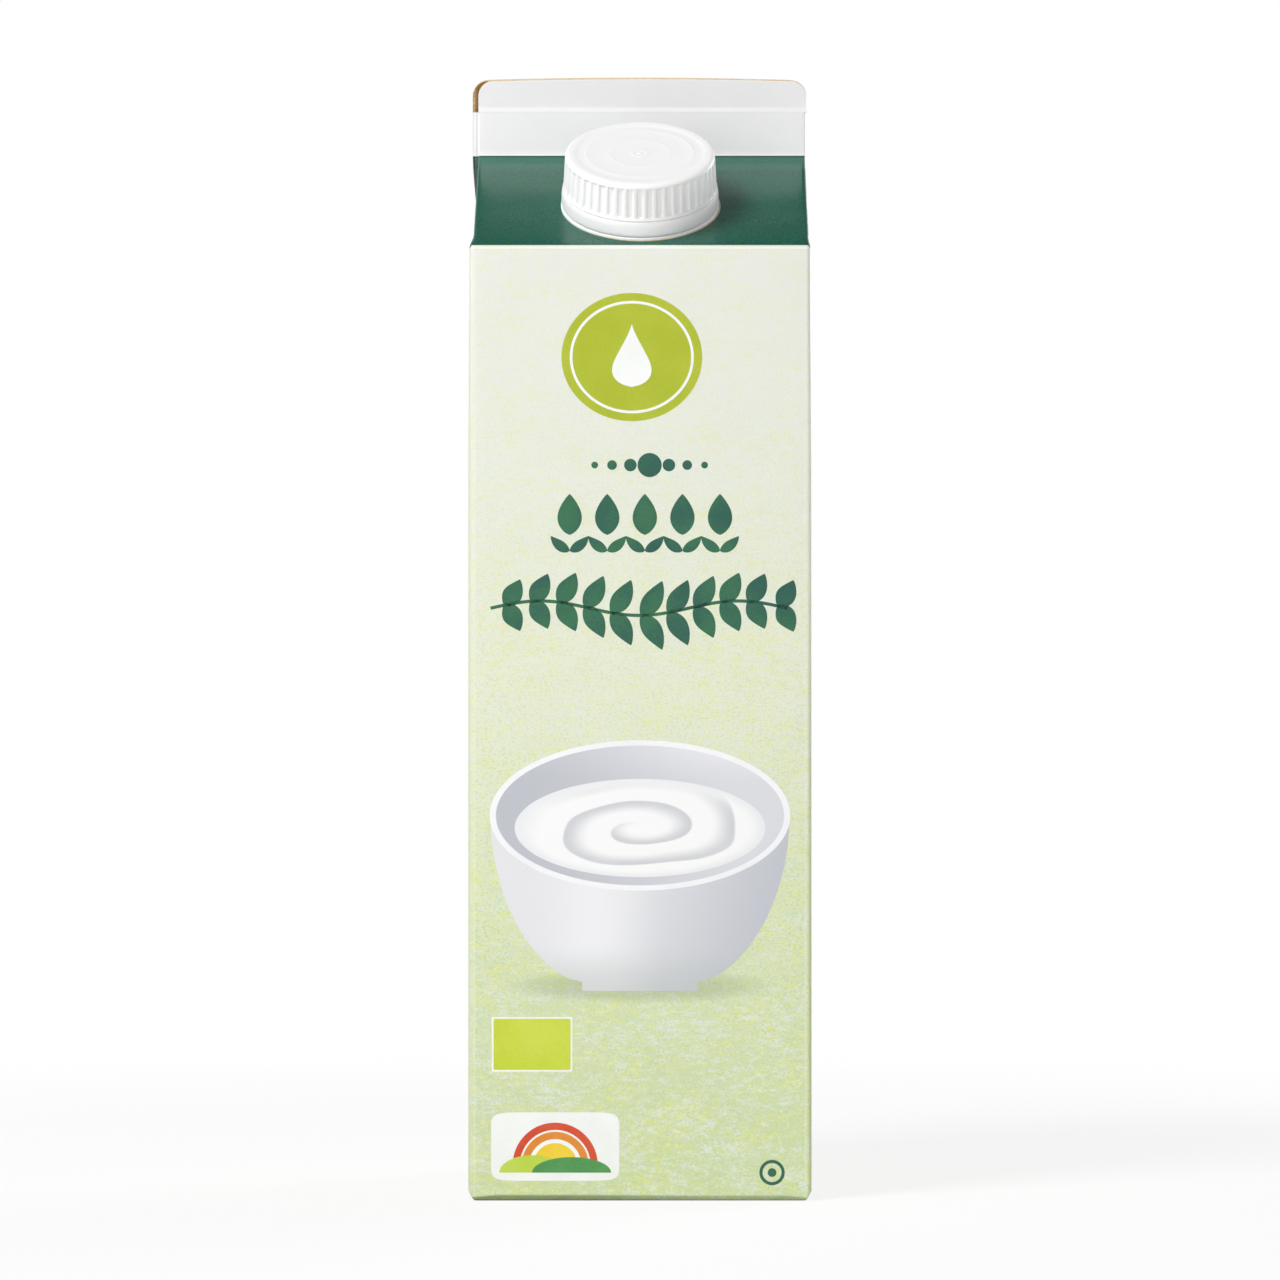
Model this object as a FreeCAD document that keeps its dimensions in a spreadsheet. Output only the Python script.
"""One-litre gable-top drink carton with a screw cap, as a parametric FreeCAD document.

The carton is one folded sheet of coated board. A square column holds the drink. Above it two roof
panels lean in to an upright fin: four layers of board in its lower part, where the folded ends lie
between the panels, and two in its upper part, where the panels are sealed to each other. Each end
of the roof folds inwards and leaves a wedge-shaped pocket under the roof panels' double edges.
The shut carton is solid. A plastic spout stands in a hole in the front roof panel, with a smooth
tamper band and a ribbed screw cap round its neck.

Millimetres, +Z up. The origin is the middle of the base, and the spout's roof panel faces -Y.
"""

import FreeCAD
import Part

import math
import os

import Sketcher

DIMENSIONS = [
    ("side", 71.4, "width and depth of the filled column, over its slightly full sides"),
    ("body_height", 198.3, "base to the crease under the roof"),
    ("upright_edge", 1.4, "outer radius of the column's upright folds"),
    ("base_edge", 1.2, "outer radius of the folds round the base"),
    ("board", 0.5, "one layer of coated board"),
    ("roof_angle", 30.3, "slope of the flat part of a roof panel, in degrees"),
    ("roof_rise", 21.5, "roof crease to the foot of the fin"),
    ("fin_inset", 0.7, "how far the fin's front half stays inside the column's sides"),
    ("fin_shift", 1.3, "how far the rear half of the fin is sealed off to the left"),
    ("fin_lower", 9.8, "height of the four-layer part of the fin"),
    ("fin_upper", 6.9, "height of the two-layer part of the fin"),
    ("fin_corner", 3.3, "radius of the fin's upper corners"),
    ("collar_margin", 1.9, "roof crease to the spout's collar, along the roof"),
    ("knee_margin", 0.35, "flat roof left above the spout's hole, below the bend up to the fin"),
    ("hole_clearance", 0.25, "gap all round the spout's collar in the hole in the board"),
    ("neck_radius", 14.6, "outer radius of the spout's neck"),
    ("running_gap", 0.2, "gap between the neck and what turns round it"),
    ("collar_height", 0.7, "top of the collar over the roof"),
    ("collar_lip", 0.2, "how far the collar shows round the tamper band"),
    ("band_wall", 1.7, "wall of the tamper band"),
    ("band_height", 3.2, "height of the tamper band"),
    ("band_gap", 0.1, "gap between the collar and the tamper band"),
    ("bridge_gap", 0.15, "gap between the tamper band and the cap"),
    ("cap_wall", 0.85, "wall of the cap between its ribs, at its foot"),
    ("cap_taper", 0.4, "how much that wall has thinned at the cap's shoulder"),
    ("cap_top", 12.35, "top of the cap over the roof"),
    ("cap_top_wall", 1.2, "thickness of the cap's top"),
    ("cap_foot", 0.6, "height of the smooth foot under the ribs"),
    ("cap_round", 1.0, "radius of the cap's rounded shoulder"),
    ("rib_count", 48, "ribs round the cap"),
    ("rib_width", 0.55, "width of a rib"),
    ("rib_depth", 0.45, "how far a rib stands out"),
]

# Sizes that several pieces share, each written once as a sheet expression.
HALF = "(dims.side / 2)"
FIN_FOOT = "(dims.body_height + dims.roof_rise)"
OVERSIZE = "(dims.side + 10)"
ROOF_ANGLE = "(dims.roof_angle * 1 deg)"
BORE = "(dims.neck_radius + dims.running_gap)"
BAND_RADIUS = f"({BORE} + dims.band_wall)"
COLLAR_RADIUS = f"({BAND_RADIUS} + dims.collar_lip)"
HOLE_RADIUS = f"({COLLAR_RADIUS} + dims.hole_clearance)"
SPOUT_ALONG = f"(dims.collar_margin + {COLLAR_RADIUS})"
KNEE_ALONG = f"({SPOUT_ALONG} + {HOLE_RADIUS} + dims.knee_margin)"
BAND_FOOT = "(dims.collar_height + dims.band_gap)"
CAP_FOOT = f"({BAND_FOOT} + dims.band_height + dims.bridge_gap)"
CAP_CEILING = "(dims.cap_top - dims.cap_top_wall)"
SHOULDER = "(dims.cap_top - dims.cap_round)"
CAP_FOOT_RADIUS = f"({BORE} + dims.cap_wall)"
CAP_TOP_RADIUS = f"({CAP_FOOT_RADIUS} - dims.cap_taper)"

ROUGH_SIZE = 10.0  # starting size of an outline, before its constraints place it
ROUGH_ANGLE = 30.0  # starting tilt of a piece on the roof, before its expression sets it
TINY = 1e-6  # sizes under this are nothing


def add_sheet(doc):
    """The spreadsheet of driving dimensions: name, plain number with an alias, meaning."""
    sheet = doc.addObject("Spreadsheet::Sheet", "dims")
    for row, (name, value, meaning) in enumerate(DIMENSIONS, start=1):
        sheet.set(f"A{row}", name)
        sheet.set(f"B{row}", str(value))
        sheet.set(f"C{row}", meaning)
        sheet.setAlias(f"B{row}", name)
    doc.recompute()
    return sheet


def bind(thing, **expressions):
    """Binds properties of an object to sheet expressions."""
    for name, text in expressions.items():
        thing.setExpression(name, text)


def add_body(doc, name):
    return doc.addObject("PartDesign::Body", name)


def find_origin(body, role):
    """One of the body's own origin planes or axes, such as XY_Plane."""
    return next(f for f in body.Origin.OriginFeatures if f.Role == role)


def add_sketch(body, name, plane):
    sketch = body.newObject("Sketcher::SketchObject", name)
    sketch.AttachmentSupport = (find_origin(body, plane), [""])
    sketch.MapMode = "FlatFace"
    return sketch


def place_point(sketch, line, across, up):
    """Ties the start of a line to a place in the sketch, given as two expressions."""
    for kind, axis, text in (("DistanceX", -2, across), ("DistanceY", -1, up)):
        if text == "0":
            sketch.addConstraint(Sketcher.Constraint("PointOnObject", line, 1, axis))
            continue
        index = sketch.addConstraint(Sketcher.Constraint(kind, -1, 1, line, 1, 1.0))
        sketch.setExpression(f"Constraints[{index}]", text)


def add_outline(body, name, plane, corners):
    """A sketch of one closed outline of straight sides. Each corner is (across, up)."""
    sketch = add_sketch(body, name, plane)
    count = len(corners)
    turns = [2 * math.pi * i / count for i in range(count)]
    rough = [FreeCAD.Vector(ROUGH_SIZE * math.cos(a), ROUGH_SIZE * math.sin(a)) for a in turns]
    for i in range(count):
        sketch.addGeometry(Part.LineSegment(rough[i], rough[(i + 1) % count]))
    for i in range(count):
        sketch.addConstraint(Sketcher.Constraint("Coincident", i, 2, (i + 1) % count, 1))
    for i, (across, up) in enumerate(corners):
        place_point(sketch, i, across, up)
    return sketch


def add_box_outline(body, name, plane, left, right, bottom, top):
    return add_outline(body, name, plane, [(left, bottom), (right, bottom), (right, top), (left, top)])


def add_pad(body, name, sketch, length, both_ways=False):
    pad = body.newObject("PartDesign::Pad", name)
    pad.Profile = sketch
    pad.SideType = "Symmetric" if both_ways else "One side"
    bind(pad, Length=length)
    return pad


def add_revolution(body, name, sketch):
    """Turns a sketch of the XZ plane once round the Z axis."""
    turned = body.newObject("PartDesign::Revolution", name)
    turned.Profile = sketch
    turned.ReferenceAxis = (sketch, ["V_Axis"])
    turned.Angle = 360.0
    return turned


def add_fillet(doc, body, name, base, radius, chosen):
    """Rounds the chosen edges of a feature's shape."""
    edges = [f"Edge{i}" for i, e in enumerate(base.Shape.Edges, start=1) if any(map(e.isSame, chosen))]
    fillet = body.newObject("PartDesign::Fillet", name)
    fillet.Base = (base, edges)
    bind(fillet, Radius=radius)
    doc.recompute()
    return fillet


def is_upright(edge):
    return edge.BoundBox.XLength < TINY and edge.BoundBox.YLength < TINY


def is_on_base(edge):
    return edge.BoundBox.ZMax < TINY


def is_at_top(edge, shape):
    return edge.BoundBox.ZMin > shape.BoundBox.ZMax - TINY


def tilt_to_roof(piece, depth="0"):
    """Stands a piece upright on the roof at the spout, with its own z = 0 sunk by depth."""
    axis = FreeCAD.Vector(1, 0, 0)
    piece.Placement = FreeCAD.Placement(FreeCAD.Vector(), FreeCAD.Rotation(axis, ROUGH_ANGLE))
    back = f"{SPOUT_ALONG} * cos({ROOF_ANGLE}) + {depth} * sin({ROOF_ANGLE})"
    up = f"{SPOUT_ALONG} * sin({ROOF_ANGLE}) - {depth} * cos({ROOF_ANGLE})"
    piece.setExpression("Placement.Base.y", f"{back} - {HALF}")
    piece.setExpression("Placement.Base.z", f"dims.body_height + {up}")
    piece.setExpression("Placement.Rotation.Angle", ROOF_ANGLE)


def add_column(doc):
    """The square column, from the base to the foot of the fin, with its folds rounded."""
    body = add_body(doc, "column")
    square = add_box_outline(body, "column_plan", "XY_Plane", f"-{HALF}", HALF, f"-{HALF}", HALF)
    block = add_pad(body, "column_block", square, FIN_FOOT)
    doc.recompute()
    upright = [e for e in block.Shape.Edges if is_upright(e)]
    folded = add_fillet(doc, body, "column_folds", block, "dims.upright_edge", upright)
    base = [e for e in folded.Shape.Edges if is_on_base(e)]
    add_fillet(doc, body, "column_base", folded, "dims.base_edge", base)
    return body


def roof_line(drop):
    """Corners of the roof seen from the side, from the rear knee to the front, sunk by drop."""
    knee = f"({HALF} - {KNEE_ALONG} * cos({ROOF_ANGLE}))"
    knee_level = f"dims.body_height + {KNEE_ALONG} * sin({ROOF_ANGLE}) - {drop}"
    fin = "(2 * dims.board)"
    fin_level = f"{FIN_FOOT} - {drop}"
    return [(knee, knee_level), (fin, fin_level), (f"-{fin}", fin_level), (f"-{knee}", knee_level)]


def add_profile(doc):
    """Everything under the roof, as seen from the side, wider than the carton."""
    body = add_body(doc, "profile")
    front, rear, crease = f"-{HALF}", HALF, "dims.body_height"
    corners = [(front, "0"), (rear, "0"), (rear, crease), *roof_line("0"), (front, crease)]
    outline = add_outline(body, "profile_outline", "YZ_Plane", corners)
    add_pad(body, "profile_block", outline, OVERSIZE, both_ways=True)
    return body


def add_pockets(doc):
    """The two wedges of air under the roof's double edges, left by the folded-in ends.

    They are what lies under the two-layer roof and outside the triangles that lean in from the
    column's sides to the middle of the fin's foot.
    """
    under_roof = add_body(doc, "under_roof")
    crease = "dims.body_height"
    two_layers = f"2 * dims.board / cos({ROOF_ANGLE})"
    reach = f"({HALF} - 2 * dims.board / sin({ROOF_ANGLE}))"
    corners = [(reach, crease), *roof_line(two_layers), (f"-{reach}", crease)]
    outline = add_outline(under_roof, "under_roof_outline", "YZ_Plane", corners)
    add_pad(under_roof, "under_roof_block", outline, OVERSIZE, both_ways=True)

    ends = add_body(doc, "folded_ends")
    corners = [(f"-{HALF}", crease), (HALF, crease), ("0", FIN_FOOT)]
    outline = add_outline(ends, "folded_ends_outline", "XZ_Plane", corners)
    add_pad(ends, "folded_ends_block", outline, OVERSIZE, both_ways=True)

    pockets = doc.addObject("Part::Cut", "pockets")
    pockets.Base, pockets.Tool = under_roof, ends
    return pockets


def add_fin_half(doc, name, middle, rear):
    """One half of the fin: two layers of board below, one above, front or rear of y = 0."""
    body = add_body(doc, name)
    reach = f"({HALF} - dims.fin_inset)"
    left, right = f"{middle} - {reach}", f"{middle} + {reach}"
    # Both parts start a little inside the roof, so that they fuse with it.
    foot = f"{FIN_FOOT} - dims.board"
    crease = f"{FIN_FOOT} + dims.fin_lower"
    tops = {"lower": (crease, 2), "upper": (f"{crease} + dims.fin_upper", 1)}
    for part, (top, layers) in tops.items():
        sketch = add_box_outline(body, f"{name}_{part}_outline", "XZ_Plane", left, right, foot, top)
        pad = add_pad(body, f"{name}_{part}", sketch, f"{layers} * dims.board")
        pad.Reversed = rear
    doc.recompute()
    through_board = [e for e in pad.Shape.Edges if e.BoundBox.XLength < TINY]
    top_corners = [e for e in through_board if is_at_top(e, pad.Shape)]
    add_fillet(doc, body, f"{name}_corners", pad, "dims.fin_corner", top_corners)
    return body


def add_hole(doc):
    """The round hole in the roof's outer layer in which the spout stands."""
    hole = doc.addObject("Part::Cylinder", "spout_hole")
    bind(hole, Radius=HOLE_RADIUS, Height="2 * dims.board")
    tilt_to_roof(hole, depth="dims.board")
    return hole


def add_carton(doc):
    """The shut carton: column, roof, pockets, fin and the hole round the spout, as one solid."""
    shell = doc.addObject("Part::Common", "shell")
    shell.Base, shell.Tool = add_column(doc), add_profile(doc)
    folded = doc.addObject("Part::Cut", "folded_roof")
    folded.Base, folded.Tool = shell, add_pockets(doc)
    front = add_fin_half(doc, "fin_front", "0", rear=False)
    rear = add_fin_half(doc, "fin_rear", "-dims.fin_shift", rear=True)
    whole = doc.addObject("Part::MultiFuse", "whole")
    whole.Shapes = [folded, front, rear]
    whole.Refine = True
    carton = doc.addObject("Part::Cut", "carton_solid")
    carton.Base, carton.Tool = whole, add_hole(doc)
    carton.Label = "carton"
    return carton


def add_spout(doc):
    """The spout: a collar in the hole in the board, and a neck up to the cap's ceiling."""
    body = add_body(doc, "spout")
    foot = "-dims.board"
    profile = [
        ("0", foot),
        (COLLAR_RADIUS, foot),
        (COLLAR_RADIUS, "dims.collar_height"),
        ("dims.neck_radius", "dims.collar_height"),
        ("dims.neck_radius", CAP_CEILING),
        ("0", CAP_CEILING),
    ]
    add_revolution(body, "spout_turned", add_outline(body, "spout_profile", "XZ_Plane", profile))
    tilt_to_roof(body)
    return body


def add_tamper_band(doc):
    """The smooth ring that stays on the neck when the cap is first turned."""
    body = add_body(doc, "tamper_band")
    top = f"{BAND_FOOT} + dims.band_height"
    ring = add_box_outline(body, "band_profile", "XZ_Plane", BORE, BAND_RADIUS, BAND_FOOT, top)
    add_revolution(body, "band_turned", ring)
    tilt_to_roof(body)
    return body


def add_cap(doc):
    """The screw cap: a cup over the neck, with upright ribs round its skirt."""
    body = add_body(doc, "cap")
    profile = [
        ("0", CAP_CEILING),
        (BORE, CAP_CEILING),
        (BORE, CAP_FOOT),
        (CAP_FOOT_RADIUS, CAP_FOOT),
        (CAP_TOP_RADIUS, "dims.cap_top"),
        ("0", "dims.cap_top"),
    ]
    cup = add_revolution(body, "cup_turned", add_outline(body, "cup_profile", "XZ_Plane", profile))
    doc.recompute()
    rim = [e for e in cup.Shape.Edges if is_at_top(e, cup.Shape)]
    add_fillet(doc, body, "cup_rounded", cup, "dims.cap_round", rim)

    # Each rib starts inside the wall, and slopes off onto the rounded shoulder.
    inside = f"({BORE} + {CAP_TOP_RADIUS}) / 2"
    foot = f"{CAP_FOOT} + dims.cap_foot"
    rib_profile = [
        (inside, foot),
        (f"{CAP_FOOT_RADIUS} + dims.rib_depth", foot),
        (f"{CAP_TOP_RADIUS} + dims.rib_depth", SHOULDER),
        (CAP_TOP_RADIUS, f"{SHOULDER} + dims.rib_depth"),
        (inside, f"{SHOULDER} + dims.rib_depth"),
    ]
    sketch = add_outline(body, "rib_profile", "XZ_Plane", rib_profile)
    rib = add_pad(body, "rib", sketch, "dims.rib_width", both_ways=True)
    ribs = body.newObject("PartDesign::PolarPattern", "ribs")
    ribs.Originals = [rib]
    ribs.Axis = (find_origin(body, "Z_Axis"), [""])
    ribs.Angle = 360.0
    bind(ribs, Occurrences="dims.rib_count")
    body.Tip = ribs
    tilt_to_roof(body)
    return body


def check(doc, parts):
    """Stops the build if any object failed, or a part is not one valid solid."""
    for thing in doc.Objects:
        bad = {"Invalid", "Error"} & set(thing.State)
        if bad:
            raise SystemExit(f"{thing.Name} is {bad}")
    for part in parts:
        shape = part.Shape
        if shape.isNull() or not shape.isValid() or len(shape.Solids) != 1:
            raise SystemExit(f"{part.Label} is not one valid solid")


def main():
    doc = FreeCAD.newDocument("carton")
    add_sheet(doc)
    parts = [add_carton(doc), add_spout(doc), add_tamper_band(doc), add_cap(doc)]
    doc.recompute()
    check(doc, parts)
    os.makedirs("parts", exist_ok=True)
    for part in parts:
        part.Shape.exportStep(f"parts/{part.Label}.step")
        box = part.Shape.BoundBox
        print(
            f"{part.Label}: {box.XLength:.2f} x {box.YLength:.2f} x {box.ZLength:.2f} mm,"
            f" {part.Shape.Volume / 1000:.2f} cm3"
        )


main()
